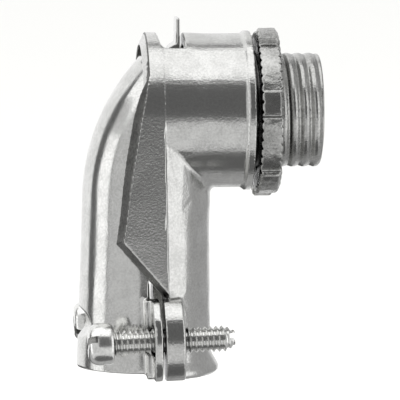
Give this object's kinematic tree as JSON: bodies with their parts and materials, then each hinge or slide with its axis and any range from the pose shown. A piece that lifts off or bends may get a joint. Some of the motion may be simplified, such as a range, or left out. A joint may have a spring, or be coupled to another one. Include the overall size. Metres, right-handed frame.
{
  "type": "elbow conduit connector",
  "caption": "Right-angle pulling elbow of cast zinc: a threaded hub with its locknut on one end, and a swinging cover that two screws clamp on flexible conduit at the other.",
  "frame": {"origin": "centre of the shoulder that seats on the box, on the hub's axis", "axes": "+X out along the threaded hub, -Z down along the conduit, +Y to the far side of the picture"},
  "size_m": [0.0455, 0.0398, 0.0666],
  "materials": {
    "cast_zinc": "bright finely grained die-cast zinc",
    "nut_zinc": "die-cast zinc, a little duller",
    "screw_steel": "zinc plated steel"
  },
  "bodies": {
    "body": {"elbow_body": "cast_zinc"},
    "cover": {"clamp_cover": "cast_zinc"},
    "near_screw": {"near_clamp_screw": "screw_steel"},
    "far_screw": {"far_clamp_screw": "screw_steel"},
    "nut": {"locknut": "nut_zinc"}
  },
  "joints": [
    {"name": "cover_swing", "type": "hinge", "parent": "body", "child": "cover", "pos_m": [-0.0178, 0, 0.0115], "axis": [0, 1, 0], "range_deg": [0, 2.5]},
    {"name": "near_screw_turn", "type": "hinge", "parent": "body", "child": "near_screw", "pos_m": [-0.01705, -0.0156, -0.0412], "axis": [0.9995, 0, 0.0332], "continuous": true},
    {"name": "far_screw_turn", "type": "hinge", "parent": "body", "child": "far_screw", "pos_m": [-0.01705, 0.0156, -0.0412], "axis": [0.9995, 0, 0.0332], "continuous": true},
    {"name": "locknut_turn", "type": "hinge", "parent": "body", "child": "nut", "pos_m": [0.00304, 0, -0.0004], "axis": [1, 0, 0], "continuous": true}
  ]
}
